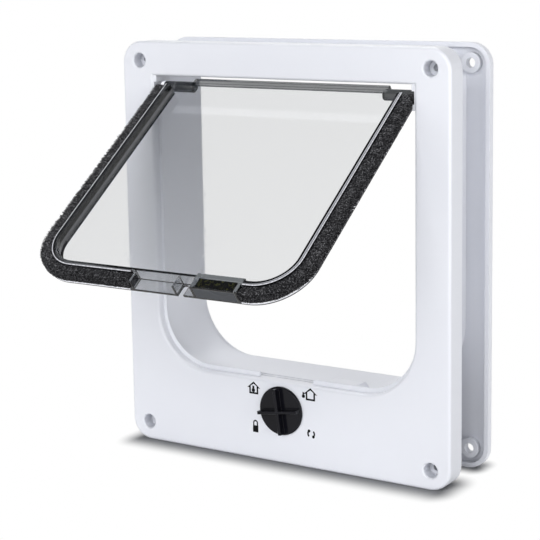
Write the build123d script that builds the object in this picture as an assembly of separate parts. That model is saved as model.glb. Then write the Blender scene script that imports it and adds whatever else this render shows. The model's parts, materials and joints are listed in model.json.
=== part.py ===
from build123d import *
import os

# A four-way locking pet door: two moulded frames that clamp a door panel between them,
# a clear swinging flap with pile strips in its rim, and a rotary lock below the opening.
# The origin is the middle of the four fixing holes, on the plane that bears on the door.
# The room side is -Y, +Z is up, and sizes are in millimetres.

# Frames
frame_width = 250.0
frame_height = 280.0
frame_corner_r = 14.5
front_depth = 16.0
front_plate_t = 2.4
front_wall_t = 2.4
front_edge_r = 2.0
rear_depth = 6.0
rear_plate_t = 2.0
rear_wall_t = 3.1
rear_bevel = 1.2
door_gap = 39.0
rib_t = 1.6
rib_drop = 1.5
side_rib_heights = (-25.0, 55.0)
end_rib_x = 66.0

# Passage through both frames
side_rail = 25.0
top_rail = 23.0
bottom_rail = 55.7
opening_low_r = 40.0
opening_top_r = 1.0
tunnel_wall = 1.8
tunnel_length = 53.0
sleeve_wall = 1.8
sleeve_length = 23.0
sleeve_clearance = 0.4
sleeve_root = 2.6

# Stop ridge inside the tunnel
ridge_height = 2.0
ridge_sill_height = 3.3
ridge_setback = 6.0
ridge_width = 2.6
ridge_ramp = 0.7
ridge_gap = 42.4

# Fixing holes
hole_inset_x = 14.0
hole_inset_z = 13.0
front_bore_d = 9.8
front_bore_depth = 9.0
front_bore_bevel = 0.8
front_screw_d = 4.6
front_boss_d = 13.4
rear_boss_d = 13.3
rear_boss_drop = 0.4
rear_hole_d = 6.6

# Hinge
hinge_setback = 12.0
hinge_below_top = 8.4
journal_r = 4.0
journal_clearance = 0.08
journal_depth = 1.6
journal_end_gap = 0.2
slot_height = 8.3
slot_depth = 6.5
snap_height = 7.4
block_inset = 2.3
block_height = 16.3
block_depth = 17.0
barrel_length = 26.8
barrel_bevel = 1.2

# Flap in the closed position, measured from the hinge line
flap_side_gap = 3.0
flap_sill_gap = 11.2
flap_corner_r = 31.5
flap_plate_t = 1.4
flap_plate_forward = 0.2
flap_top = 3.0
rim_height = 8.05
rim_start = 6.0
rim_inset = 8.3
rim_wall_t = 1.5
lip_inset = 6.7
lip_t = 1.5
top_bar_top = 6.3
top_bar_low = 1.5
top_bar_forward = 2.7
recess_half = 15.0
recess_wall_t = 1.5
notch_width = 4.0
notch_end_gap = 0.5
open_angle = 54.3

# Pile strips
pile_reach = 0.3
pile_gap = 0.1
pile_end_gap = 0.3

# Magnets
housing_start = 28.0
housing_width = 33.0
housing_height = 11.7
housing_edge_r = 0.8
magnet_length = 27.0
magnet_height = 6.6
magnet_t = 6.0
magnet_cover_t = 1.4
magnet_cover_margin = 2.0
magnet_clearance = 0.1
sill_holder_start = 30.0
sill_holder_length = 23.2
sill_holder_width = 12.2
sill_holder_setback = 7.3
sill_holder_ramp = 3.0
sill_lid_t = 1.0
sill_lid_margin = 0.7
sill_magnet_margin = 1.3
sill_magnet_t = 2.6

# Rotary lock
lock_drop = 19.1
knob_d = 33.0
knob_t = 1.6
knob_gap = 0.2
knob_bevel = 0.6
fin_length = 31.0
fin_t = 2.2
fin_height = 5.0
fin_bevel = 0.4
knob_turn = 8.0
shaft_d = 12.0
shaft_clearance = 0.08
bush_d = 18.0
bush_length = 3.8
hub_gap = 0.3
hub_d = 19.0
spigot_d = 8.0
spigot_flat = 3.2
spigot_end_gap = 0.4
spigot_fit = 0.05
wheel_r = 33.0
wheel_flat_drop = 0.3
front_lobe_t = 2.0
front_lobe_before_flap = 0.5
rear_lobe_t = 1.5
rear_lobe_behind_flap = 0.5
lobe_slot_gap = 0.5
lobe_slot_side = 0.6
screw_head_d = 6.4
screw_head_t = 1.4
screw_head_gap = 0.2
screw_d = 3.0
screw_length = 7.0
screw_hole_gap = 0.1
screw_slot_t = 0.8

# Places that follow from the sizes above
front_y = -front_depth
back_y = door_gap + rear_depth
plate_inner_y = front_y + front_plate_t
tunnel_end_y = front_y + tunnel_length
opening_width = frame_width - 2 * side_rail
opening_top = frame_height / 2 - top_rail
opening_low = -frame_height / 2 + bottom_rail
hole_x = frame_width / 2 - hole_inset_x
hole_z = frame_height / 2 - hole_inset_z
hinge_y = front_y + hinge_setback
hinge_z = opening_top - hinge_below_top
block_x = opening_width / 2 - block_inset
block_low = opening_top - block_height
journal_x = block_x + journal_depth
seat_x = journal_x + journal_end_gap
barrel_x = journal_x - barrel_length
plate_front_y = hinge_y - flap_plate_forward
plate_back_y = plate_front_y + flap_plate_t
rim_front_y = plate_front_y - rim_height
lip_back_y = rim_front_y + lip_t
flap_width = opening_width - 2 * flap_side_gap
flap_low = opening_low + flap_sill_gap
rim_top = hinge_z - rim_start
housing_mid = housing_start + housing_width / 2
lock_z = opening_low - lock_drop
hub_front_y = plate_inner_y + bush_length + hub_gap
front_lobe_y = plate_front_y - front_lobe_before_flap
rear_lobe_y = plate_back_y + rear_lobe_behind_flap
hub_back_y = rear_lobe_y + rear_lobe_t
spigot_end_y = hub_back_y - screw_head_t - spigot_end_gap
sill_mid_x = sill_holder_start + sill_holder_length / 2
sill_mid_y = front_y + sill_holder_setback + sill_holder_width / 2
sill_top = opening_low + ridge_sill_height
sill_pocket_top = sill_top - sill_lid_t
past = 1.0


def on_plane(sketch, y):
    """A sketch drawn in X and Z, placed along Y and facing the room."""
    return Plane(origin=(0, y, 0), x_dir=(1, 0, 0), z_dir=(0, -1, 0)) * sketch


def prism(sketch, y_from, y_to):
    """A sketch drawn in X and Z, made solid between two places along Y."""
    return extrude(on_plane(sketch, y_to), amount=y_to - y_from)


def block(x_pair, y_pair, z_pair):
    """A box given by its limits along X, Y and Z, each pair in either order."""
    low = [min(pair) for pair in (x_pair, y_pair, z_pair)]
    high = [max(pair) for pair in (x_pair, y_pair, z_pair)]
    size = [b - a for a, b in zip(low, high)]
    middle = [(a + b) / 2 for a, b in zip(low, high)]
    return Pos(*middle) * Box(*size)


def rod_y(diameter, x, z, y_from, y_to):
    """A round bar along Y."""
    return prism(Pos(x, z) * Circle(diameter / 2), y_from, y_to)


def rod_x(radius, x_from, x_to, y, z):
    """A round bar along X."""
    place = Pos((x_from + x_to) / 2, y, z) * Rot(0, 90, 0)
    return place * Cylinder(radius, abs(x_to - x_from))


def edges_at(shape, y):
    """The edges of a shape that lie in one plane across Y."""
    return shape.edges().filter_by_position(Axis.Y, y - 0.001, y + 0.001)


def frame_outline(inset=0.0):
    """The outline that both frames share."""
    width = frame_width - 2 * inset
    height = frame_height - 2 * inset
    return RectangleRounded(width, height, frame_corner_r - inset)


def opening(grow=0.0, lift=0.0):
    """The passage's outline: square at the top, with large round corners below.

    It can be grown all round, which rounds its top corners, and its lower edge can be lifted."""
    top = opening_top + grow
    low = opening_low - grow + lift
    shape = Pos(0, (top + low) / 2) * Rectangle(opening_width + 2 * grow, top - low)
    shape = fillet(shape.vertices().sort_by(Axis.Y)[:2], opening_low_r + grow - lift)
    if grow <= 0:
        return shape
    return fillet(shape.vertices().sort_by(Axis.Y)[-2:], opening_top_r + grow)


def hole_places():
    """The four fixing holes' places in X and Z."""
    return [(x, z) for x in (-hole_x, hole_x) for z in (-hole_z, hole_z)]


def make_ridge():
    """The ridge with sloping flanks, low on both sides of the tunnel and higher on the sill."""
    start = front_y + ridge_setback
    end = start + ridge_width
    wide = opening()
    narrow = opening(-ridge_height, ridge_sill_height - ridge_height)
    hollow = loft([on_plane(wide, start), on_plane(narrow, start + ridge_ramp)])
    hollow += prism(narrow, start + ridge_ramp, end - ridge_ramp)
    hollow += loft([on_plane(narrow, end - ridge_ramp), on_plane(wide, end)])
    band = prism(opening(tunnel_wall / 2), start, end) - hollow
    across = (-frame_width, frame_width)
    band -= block(across, (start - past, end + past), (block_low, frame_height))
    gap = (-ridge_gap / 2, ridge_gap / 2)
    return band - block(gap, (start - past, end + past), (opening_low, 0))


def make_hinge_block(side):
    """A block in one top corner of the tunnel, with a slot from the front and a snap-in seat."""
    inner = side * block_x
    seat = side * seat_x
    cut = (inner - side * past, seat)
    depth = (front_y + front_edge_r / 2, front_y + block_depth)
    height = (block_low, opening_top + tunnel_wall / 2)
    body = block((inner, side * (opening_width / 2 + tunnel_wall / 2)), depth, height)
    body -= rod_x(journal_r + journal_clearance, *cut, hinge_y, hinge_z)
    half = snap_height / 2
    body -= block(cut, (front_y, hinge_y), (hinge_z - half, hinge_z + half))
    half = slot_height / 2
    return body - block(cut, (front_y, front_y + slot_depth), (hinge_z - half, hinge_z + half))


def lobe_slot(y_from, thickness):
    """The slot in the sill that one disc of the lock wheel rises through."""
    reach = opening_low - tunnel_wall - lock_z
    half = (wheel_r ** 2 - reach ** 2) ** 0.5 + lobe_slot_side
    along = (y_from - lobe_slot_gap, y_from + thickness + lobe_slot_gap)
    return block((-half, half), along, (opening_low - 2 * tunnel_wall, opening_low + past))


def sill_box(margin, z_pair):
    """A box in the middle of the sill magnet's holder behind the ridge, drawn in by a margin."""
    half_x = sill_holder_length / 2 - margin
    half_y = sill_holder_width / 2 - margin
    across = (sill_mid_x - half_x, sill_mid_x + half_x)
    return block(across, (sill_mid_y - half_y, sill_mid_y + half_y), z_pair)


def make_sill_ramp():
    """The slope from the top of the sill magnet's holder down to the sill, at its outer end."""
    end_x = sill_holder_start + sill_holder_length
    low = opening_low - tunnel_wall / 2
    foot_x = end_x + sill_holder_ramp
    slope = Polygon((end_x, low), (foot_x, low), (foot_x, opening_low), (end_x, sill_top), align=None)
    half_y = sill_holder_width / 2
    return prism(slope, sill_mid_y - half_y, sill_mid_y + half_y)


def make_front_frame():
    """Room-side moulding: face, rim, tunnel, ridge, hinge seats, lock bush and magnet holder."""
    body = prism(frame_outline(), front_y, 0) - prism(opening(), front_y - past, past)
    body = fillet(edges_at(body, front_y), front_edge_r)
    body -= prism(frame_outline(front_wall_t) - opening(tunnel_wall), plate_inner_y, past)
    body += prism(opening(tunnel_wall) - opening(), -past, tunnel_end_y)

    rib_y = (plate_inner_y - past, -rib_drop)
    half = rib_t / 2
    side_x = (opening_width / 2 + tunnel_wall / 2, frame_width / 2 - front_wall_t / 2)
    for z in side_rib_heights:
        for side in (-1, 1):
            body += block((side * side_x[0], side * side_x[1]), rib_y, (z - half, z + half))
    end_z = frame_height / 2 - front_wall_t / 2
    for x in (-end_rib_x, end_rib_x):
        body += block((x - half, x + half), rib_y, (opening_top + tunnel_wall / 2, end_z))
        body += block((x - half, x + half), rib_y, (-end_z, opening_low - tunnel_wall / 2))

    for x, z in hole_places():
        body += rod_y(front_boss_d, x, z, plate_inner_y - past, 0)
        body -= rod_y(front_bore_d, x, z, front_y - past, front_y + front_bore_depth)
        body -= rod_y(front_screw_d, x, z, front_y, past)
    rims = edges_at(body, front_y).filter_by(GeomType.CIRCLE)
    rims = [edge for edge in rims if abs(edge.radius - front_bore_d / 2) < 0.01]
    body = chamfer(rims, front_bore_bevel)

    body += make_ridge()
    body += make_hinge_block(-1)
    body += make_hinge_block(1)
    body += rod_y(bush_d, 0, lock_z, plate_inner_y - past, plate_inner_y + bush_length)
    body -= rod_y(shaft_d + 2 * shaft_clearance, 0, lock_z, front_y - past, 0)
    body -= lobe_slot(front_lobe_y - front_lobe_t, front_lobe_t)
    body -= lobe_slot(rear_lobe_y, rear_lobe_t)
    body += sill_box(0, (opening_low - tunnel_wall / 2, sill_top))
    body += make_sill_ramp()
    body -= sill_box(sill_lid_margin, (sill_pocket_top, sill_top + past))
    return body - sill_box(sill_magnet_margin, (sill_pocket_top - sill_magnet_t, sill_top))


def make_rear_frame():
    """Far-side moulding: a shallow tray whose sleeve slides over the tunnel."""
    inner = opening(tunnel_wall + sleeve_clearance)
    outer_grow = tunnel_wall + sleeve_clearance + sleeve_wall
    outer = opening(outer_grow)
    plate_y = back_y - rear_plate_t
    body = prism(frame_outline(), door_gap, back_y) - prism(inner, door_gap - past, back_y + past)
    body = chamfer(edges_at(body, back_y), rear_bevel)
    body -= prism(frame_outline(rear_wall_t) - outer, door_gap - past, plate_y)
    body += prism(outer - inner, back_y - sleeve_length, door_gap + past)
    root = opening(outer_grow + sleeve_root)
    body += loft([on_plane(root, plate_y), on_plane(outer, plate_y - sleeve_root)])
    boss_y = door_gap + rear_boss_drop
    for x, z in hole_places():
        body += rod_y(rear_boss_d, x, z, boss_y, plate_y + past / 2)
        body -= rod_y(rear_hole_d, x, z, boss_y - past, back_y + past)
    return body - prism(inner, back_y - sleeve_length - past, back_y + past)


def flap_outline(inset, top):
    """The flap's outline when closed, drawn in by an inset and ending at a given height."""
    low = flap_low + inset
    shape = Pos(0, (top + low) / 2) * Rectangle(flap_width - 2 * inset, top - low)
    return fillet(shape.vertices().sort_by(Axis.Y)[:2], flap_corner_r - inset)


def make_flap():
    """One clear moulding: panel, hinge barrels, channelled rim, lock recess and magnet housing."""
    body = prism(flap_outline(0, hinge_z + flap_top), plate_front_y, plate_back_y)
    inside = flap_outline(rim_inset + rim_wall_t, rim_top + past)
    body += prism(flap_outline(rim_inset, rim_top) - inside, rim_front_y, plate_front_y)
    lip = prism(flap_outline(lip_inset, rim_top) - inside, rim_front_y, lip_back_y)
    wall_out_z = flap_low + rim_inset
    recess_end = recess_half + recess_wall_t
    lip -= block((-recess_half, housing_start), (rim_front_y, lip_back_y), (flap_low, wall_out_z))
    body += lip

    for side in (-1, 1):
        end = (side * recess_half, side * recess_end)
        body += block(end, (lip_back_y, plate_front_y), (flap_low, wall_out_z))
    notch = Rectangle(notch_width, rim_inset - notch_end_gap, align=(Align.MIN, Align.MIN))
    notch = fillet(notch.vertices().sort_by(Axis.Y)[-2:], notch_width / 3)
    notch = prism(Pos(recess_end, flap_low) * notch, lip_back_y, plate_back_y + past)
    body -= notch

    housing_x = (housing_start, housing_start + housing_width)
    housing = block(housing_x, (rim_front_y, plate_back_y), (flap_low, flap_low + housing_height))
    body += fillet(edges_at(housing, rim_front_y), housing_edge_r)
    body -= magnet_box(0)
    body -= magnet_cover_box(0)

    for side in (-1, 1):
        barrel = rod_x(journal_r, side * barrel_x, side * journal_x, hinge_y, hinge_z)
        rings = barrel.edges().filter_by(GeomType.CIRCLE).sort_by(Axis.X)
        body += chamfer(rings[0] if side > 0 else rings[-1], barrel_bevel)
    bar_z = (hinge_z + top_bar_low, hinge_z + top_bar_top)
    bar_y = (hinge_y - top_bar_forward, plate_back_y)
    bar_half = barrel_x + 2 * barrel_bevel
    return body + block((-bar_half, bar_half), bar_y, bar_z)


def magnet_box(clearance):
    """The magnet's pocket in the flap's housing, or the magnet when a clearance is given."""
    half = magnet_length / 2 - clearance
    middle = (rim_front_y + plate_front_y) / 2
    thick = magnet_t / 2 - clearance
    low = flap_low + magnet_cover_t
    high = low + magnet_height - clearance
    across = (housing_mid - half, housing_mid + half)
    return block(across, (middle - thick, middle + thick), (low, high))


def magnet_cover_box(clearance):
    """The rebate for the magnet's cover, or the cover when a clearance is given."""
    half = housing_width / 2 - magnet_cover_margin - clearance
    edge = magnet_cover_margin / 2 + clearance
    along = (rim_front_y + edge, plate_back_y - edge)
    return block((housing_mid - half, housing_mid + half), along, (flap_low, flap_low + magnet_cover_t))


def make_brush(side):
    """A pile strip in the rim's channel, from the hinge down one side and along the lower edge."""
    top = rim_top - pile_end_gap
    strip = flap_outline(-pile_reach, top) - flap_outline(rim_inset - pile_gap, top + past)
    strip = prism(strip, lip_back_y + pile_gap, plate_front_y - pile_gap)
    if side < 0:
        end = -recess_half - recess_wall_t - pile_end_gap
    else:
        end = housing_start + housing_width + pile_end_gap
    far = (end, -side * frame_width)
    return strip - block(far, (rim_front_y, plate_back_y), (flap_low - frame_height, hinge_z))


def flatted_disc(turns, y_from, thickness):
    """A disc of the lock wheel with flats, each turned clockwise from straight up."""
    disc = Circle(wheel_r)
    flat = lock_drop - wheel_flat_drop
    for turn in turns:
        beyond = Pos(0, flat + wheel_r / 2) * Rectangle(2 * wheel_r, wheel_r)
        disc -= Rot(0, 0, -turn) * beyond
    return prism(Pos(0, lock_z) * disc, y_from, y_from + thickness)


def spigot(gap=0.0):
    """The flatted spigot that drives the wheel, or its bore when a gap is given."""
    shape = Circle(spigot_d / 2 + gap) & Rectangle(2 * (spigot_flat + gap), 2 * spigot_d)
    return prism(Pos(0, lock_z) * shape, hub_front_y, spigot_end_y + gap)


def make_lock_wheel():
    """Hub with two discs that rise before and behind the closed flap, two flats on each."""
    body = rod_y(hub_d, 0, lock_z, hub_front_y, hub_back_y)
    body += flatted_disc((0, 180), front_lobe_y - front_lobe_t, front_lobe_t)
    body += flatted_disc((0, 90), rear_lobe_y, rear_lobe_t)
    body -= spigot(spigot_fit)
    sunk_d = screw_head_d + 2 * screw_head_gap
    body -= rod_y(sunk_d, 0, lock_z, hub_back_y - screw_head_t, hub_back_y + past)
    return body - rod_y(screw_d + 2 * screw_head_gap, 0, lock_z, spigot_end_y, hub_back_y)


def make_lock_knob():
    """Round knob with a raised cross of two fins, its shaft and its spigot."""
    back = front_y - knob_gap
    face = back - knob_t
    body = rod_y(knob_d, 0, lock_z, face, back)
    body = chamfer(edges_at(body, face).filter_by(GeomType.CIRCLE), knob_bevel)
    cross = Rectangle(fin_length, fin_t) + Rectangle(fin_t, fin_length)
    fins = prism(Pos(0, lock_z) * Rot(0, 0, knob_turn) * cross, face - fin_height, face + past)
    body += chamfer(edges_at(fins, face - fin_height), fin_bevel)
    body += rod_y(shaft_d, 0, lock_z, back - past, hub_front_y)
    body += spigot()
    hole = screw_d + 2 * screw_hole_gap
    return body - rod_y(hole, 0, lock_z, hub_back_y - screw_head_t - screw_length, spigot_end_y)


def make_lock_screw():
    """Cross-slotted screw, flush in the hub, that holds the wheel on the knob's spigot."""
    under_head = hub_back_y - screw_head_t
    body = rod_y(screw_head_d, 0, lock_z, under_head, hub_back_y)
    body += rod_y(screw_d, 0, lock_z, under_head - screw_length, under_head)
    deep = (hub_back_y - screw_head_t / 2, hub_back_y + past)
    reach = screw_head_d / 3
    half = screw_slot_t / 2
    body -= block((-reach, reach), deep, (lock_z - half, lock_z + half))
    return body - block((-half, half), deep, (lock_z - reach, lock_z + reach))


def opened(shape):
    """Turns a piece of the flap about the hinge line to its resting, open position."""
    return Pos(0, hinge_y, hinge_z) * Rot(-open_angle, 0, 0) * Pos(0, -hinge_y, -hinge_z) * shape


sill_magnet_z = (sill_pocket_top - sill_magnet_t, sill_pocket_top)
sill_lid_z = (sill_pocket_top, sill_top)
parts = {
    "front_frame": make_front_frame(),
    "rear_frame": make_rear_frame(),
    "flap": opened(make_flap()),
    "left_brush": opened(make_brush(-1)),
    "right_brush": opened(make_brush(1)),
    "flap_magnet": opened(magnet_box(magnet_clearance)),
    "magnet_cover": opened(magnet_cover_box(magnet_clearance)),
    "sill_magnet": sill_box(sill_magnet_margin + magnet_clearance, sill_magnet_z),
    "sill_lid": sill_box(sill_lid_margin + magnet_clearance, sill_lid_z),
    "lock_knob": make_lock_knob(),
    "lock_wheel": make_lock_wheel(),
    "lock_screw": make_lock_screw(),
}

os.makedirs("parts", exist_ok=True)
for name, shape in parts.items():
    shape.label = name
    export_step(shape, f"parts/{name}.step")
    print(name, len(shape.solids()), round(shape.volume, 1))
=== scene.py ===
# %% [markdown]
# A pet door for a house door: two white mouldings that clamp the door panel between them, a clear
# flap that swings in the opening, pile strips round the flap, and a black knob that sets the lock.
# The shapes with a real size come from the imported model, which is loaded here as a fixed frame. This
# lesson adds what that model can't hold: the finishes, the fibres of the pile and the printed signs.

# %% Load the frame
import json
import math

import bmesh
import bpy
import numpy as np
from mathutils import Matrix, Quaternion, Vector


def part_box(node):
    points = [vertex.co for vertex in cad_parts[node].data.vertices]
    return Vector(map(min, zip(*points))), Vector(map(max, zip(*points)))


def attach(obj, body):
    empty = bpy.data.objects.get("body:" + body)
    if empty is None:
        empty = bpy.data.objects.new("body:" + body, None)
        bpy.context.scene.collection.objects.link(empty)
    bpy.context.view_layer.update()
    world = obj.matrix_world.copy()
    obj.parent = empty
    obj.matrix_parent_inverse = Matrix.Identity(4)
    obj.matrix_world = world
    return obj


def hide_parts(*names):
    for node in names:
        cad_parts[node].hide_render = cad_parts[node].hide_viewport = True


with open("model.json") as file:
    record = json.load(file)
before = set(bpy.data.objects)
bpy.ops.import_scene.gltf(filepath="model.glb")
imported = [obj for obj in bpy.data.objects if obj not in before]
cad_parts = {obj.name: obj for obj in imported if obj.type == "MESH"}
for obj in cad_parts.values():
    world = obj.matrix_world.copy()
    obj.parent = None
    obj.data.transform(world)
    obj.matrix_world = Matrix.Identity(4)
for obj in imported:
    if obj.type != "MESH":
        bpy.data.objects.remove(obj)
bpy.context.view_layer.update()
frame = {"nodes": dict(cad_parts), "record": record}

MM = 0.001
cad = frame["nodes"]
print("nodes:", sorted(cad))

# %% [markdown]
# The studio and every finish are built from shader nodes. They could be drawn by hand in the node editor.
# A script can be read and changed line by line, and a few helpers keep it short: each adds a node, fills
# its sockets with links or plain values, and returns the socket that the next node takes.

# %% Helpers for nodes
def add_node(tree, kind, **settings):
    made = tree.nodes.new(kind)
    for name, value in settings.items():
        setattr(made, name, value)
    return made


def feed(tree, value, socket):
    """Links another node's socket to this one, or sets a plain value on it."""
    if isinstance(value, bpy.types.NodeSocket):
        tree.links.new(value, socket)
    else:
        socket.default_value = value


def feed_named(tree, node, values):
    """Feeds several sockets of a node, by their names."""
    for name, value in values.items():
        feed(tree, value, node.inputs[name])


def maths(tree, operation, first, *others):
    """One operation over all the values, taken in turn, or on a single one."""
    for other in others or (0.0,):
        made = add_node(tree, "ShaderNodeMath", operation=operation)
        feed(tree, first, made.inputs[0])
        feed(tree, other, made.inputs[1])
        first = made.outputs["Value"]
    return first


def ramp_between(tree, value, start, end, low, high, kind="SMOOTHSTEP"):
    """A value that goes from low to high as the given one goes from start to end."""
    made = add_node(tree, "ShaderNodeMapRange", interpolation_type=kind)
    limits = {"From Min": start, "From Max": end, "To Min": low, "To Max": high}
    feed_named(tree, made, {"Value": value, **limits})
    return made.outputs["Result"]


def mix_shaders(tree, factor, first, second, target):
    """Gives the target the first shader where the factor is zero, and the second where it is one."""
    mix = add_node(tree, "ShaderNodeMixShader")
    for value, socket in zip((factor, first, second), mix.inputs):
        feed(tree, value, socket)
    feed(tree, mix.outputs["Shader"], target)


print("node names as in Blender", bpy.app.version_string)

# %% [markdown]
# The set is a white studio: a pale floor that the two frames stand on, and white all round. A white
# room could be built with a curved backdrop. Here the world itself is white, and the floor turns into
# plain white close to the object, so only the tight shadow under the frames is left of it, partly cast
# and partly painted. Light Path tells the shader which rays see that white: camera, mirror and
# see-through rays do. The light that falls on the object comes from the same world, but dimmer, and less
# from behind than from the front. The ceiling is dark, as in a real studio: clear plastic shows its shape
# by what its edges mirror.

# %% White world
pure_white = (1.0, 1.0, 1.0, 1.0)
fill_tint = (0.97, 0.98, 1.0, 1.0)
ceiling_band = (0.3, 0.6)


def seen_directly(tree):
    """Masks for rays from the camera, and for rays that a mirror or a clear piece has sent on."""
    path = add_node(tree, "ShaderNodeLightPath").outputs
    return path["Is Camera Ray"], maths(tree, "MAXIMUM", path["Is Glossy Ray"], path["Is Transmission Ray"])


def make_world(front_light, back_light, ceiling_share):
    world = bpy.data.worlds.new("white_room")
    world.use_nodes = True
    tree = world.node_tree
    tree.nodes.clear()
    heading = add_node(tree, "ShaderNodeSeparateXYZ")
    feed(tree, add_node(tree, "ShaderNodeTexCoord").outputs["Generated"], heading.inputs["Vector"])
    walls = ramp_between(tree, heading.outputs["Y"], -1.0, 1.0, front_light, back_light, "LINEAR")
    below_ceiling = ramp_between(tree, heading.outputs["Z"], *ceiling_band, 1.0, ceiling_share)
    fill = add_node(tree, "ShaderNodeBackground")
    feed_named(tree, fill, {"Color": fill_tint, "Strength": maths(tree, "MULTIPLY", walls, below_ceiling)})
    plain = add_node(tree, "ShaderNodeBackground")
    feed(tree, pure_white, plain.inputs["Color"])
    by_camera, by_mirror = seen_directly(tree)
    bright_walls = ramp_between(tree, heading.outputs["Z"], *ceiling_band, 1.0, 0.0)
    seen = maths(tree, "MAXIMUM", by_camera, maths(tree, "MULTIPLY", by_mirror, bright_walls))
    out = add_node(tree, "ShaderNodeOutputWorld")
    mix_shaders(tree, seen, fill.outputs["Background"], plain.outputs["Background"], out.inputs["Surface"])
    return world


scene = bpy.context.scene
scene.world = make_world(front_light=0.72, back_light=0.2, ceiling_share=0.2)
scene.view_settings.view_transform = "Standard"
print("world:", scene.world.name)

# %% [markdown]
# The floor could be left plain, but then its far part would be a shade off white. Its material measures
# how far a point is from the nearer of the two frames, and a finger's width away it gives plain white
# light to the rays that see it. Nearer, those rays meet a dark grey, a painted shadow over the real
# contact shadow, while light that bounces off the floor meets a pale matt grey. The frames have round
# corners, so the painted shadow starts a little inside their ends.

# %% Places on the floor
# These sizes give the shape of the painted shadow round the frames' feet.
rim_depth = 16 * MM
tray_depth = 6 * MM
corner_lift = 9 * MM
sideways_fade = 1.4
rear_fade = 1.5


def vector_maths(tree, operation, first, second=(0, 0, 0)):
    made = add_node(tree, "ShaderNodeVectorMath", operation=operation)
    feed(tree, first, made.inputs[0])
    feed(tree, second, made.inputs[1])
    return made.outputs["Value" if operation in ("LENGTH", "DOT_PRODUCT") else "Vector"]


def own_place(tree):
    """A point's place on its own object, in metres."""
    return add_node(tree, "ShaderNodeTexCoord").outputs["Object"]


def footprint_distance(tree, place, low, high):
    """How far a point of the floor lies outside a rectangle that stands on it."""
    middle = (low + high) / 2
    half = (high - low) / 2 - Vector((corner_lift, 0, 0))
    beyond = vector_maths(tree, "SUBTRACT", place, (middle.x, middle.y, 0))
    beyond = vector_maths(tree, "ABSOLUTE", beyond)
    beyond = vector_maths(tree, "SUBTRACT", beyond, (half.x, half.y, 0))
    beyond = vector_maths(tree, "MAXIMUM", beyond, (0, 0, 0))
    beyond = vector_maths(tree, "MULTIPLY", beyond, (sideways_fade, 1, 0))
    return vector_maths(tree, "LENGTH", beyond)


def frame_distance(tree):
    """How far a point of the floor is from the nearer frame, where the rear one counts as farther off."""
    place = own_place(tree)
    front_low, front_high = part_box("front_frame")
    front_high = Vector((front_high.x, front_low.y + rim_depth, 0))
    rear_low, rear_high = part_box("rear_frame")
    rear_low = Vector((rear_low.x, rear_high.y - tray_depth, 0))
    near_front = footprint_distance(tree, place, front_low, front_high)
    near_rear = maths(tree, "MULTIPLY", footprint_distance(tree, place, rear_low, rear_high), rear_fade)
    return maths(tree, "MINIMUM", near_front, near_rear)


print("depth of the two footprints, mm:", round(rim_depth / MM), round(tray_depth / MM))

# %% Finish of the floor
shadow_room = 25 * MM
bounce_grey = (0.8, 0.8, 0.8, 1.0)
# Painted shadow: the dark grey that camera and mirror rays see near the frames.
painted_shadow_grey = (0.27, 0.275, 0.285, 1.0)


def toned(tree, factor, start, end):
    """A colour that goes from the start to the end as the factor goes from zero to one."""
    made = add_node(tree, "ShaderNodeMix", data_type="RGBA")
    feed_named(tree, made, {"Factor": factor, "A": start, "B": end})
    return made.outputs["Result"]


def make_floor_finish():
    material = bpy.data.materials.new("studio_floor")
    material.use_nodes = True
    tree = material.node_tree
    tree.nodes.clear()
    away = ramp_between(tree, frame_distance(tree), 0.0, shadow_room, 0.0, 1.0)
    seen = maths(tree, "MAXIMUM", *seen_directly(tree))
    matt = add_node(tree, "ShaderNodeBsdfDiffuse")
    # Painted shadow: rays that see the floor get the dark grey, light that bounces gets the pale grey.
    feed(tree, toned(tree, seen, bounce_grey, painted_shadow_grey), matt.inputs["Color"])
    plain = add_node(tree, "ShaderNodeEmission")
    feed(tree, 1.0, plain.inputs["Strength"])
    out = add_node(tree, "ShaderNodeOutputMaterial")
    faded = maths(tree, "MULTIPLY", away, seen)
    mix_shaders(tree, faded, matt.outputs["BSDF"], plain.outputs["Emission"], out.inputs["Surface"])
    return material


floor_finish = make_floor_finish()
print("floor finish with", len(floor_finish.node_tree.nodes), "nodes")

# %% Floor
floor_z = min(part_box("front_frame")[0].z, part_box("rear_frame")[0].z)


def make_floor(reach):
    mesh = bpy.data.meshes.new("floor")
    corners = [(-reach, -reach, 0), (reach, -reach, 0), (reach, reach, 0), (-reach, reach, 0)]
    mesh.from_pydata(corners, [], [(0, 1, 2, 3)])
    floor = bpy.data.objects.new("floor", mesh)
    floor.location = (0, 0, floor_z)
    bpy.context.collection.objects.link(floor)
    mesh.materials.append(floor_finish)


make_floor(reach=6.0)
print("floor at", round(floor_z, 4))

# %% [markdown]
# Three large lamps light the set. The key stands far in front, and gives the white faces their even
# tone. A reflector at the right, a little in front, keeps the side walls and the rear tray pale. The
# third stands high behind at the left: it reaches the sill through the tunnel, and throws the frames'
# shadow forward.

# %% Lamps
def add_softbox(name, place, aim, size, power):
    data = bpy.data.lights.new(name, "AREA")
    data.shape = "SQUARE"
    data.size = size
    data.energy = power
    lamp = bpy.data.objects.new(name, data)
    lamp.location = place
    lamp.rotation_mode = "QUATERNION"
    lamp.rotation_quaternion = (Vector(aim) - Vector(place)).to_track_quat("-Z", "Y")
    bpy.context.collection.objects.link(lamp)


add_softbox("key_softbox", place=(0.35, -2.4, 0.95), aim=(0, 0, 0), size=1.6, power=37.0)
add_softbox("side_reflector", place=(1.3, -0.35, 0.3), aim=(0, 0.02, 0), size=0.8, power=6.2)
add_softbox("back_softbox", place=(-0.5, 0.9, 1.4), aim=(0, 0, 0), size=0.8, power=17.0)

# %% [markdown]
# The camera looks from the front right, a little above the middle, through a long lens, as the picture
# of the object was taken. A shift of the sensor keeps the object in the frame without tilting the view.

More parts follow.
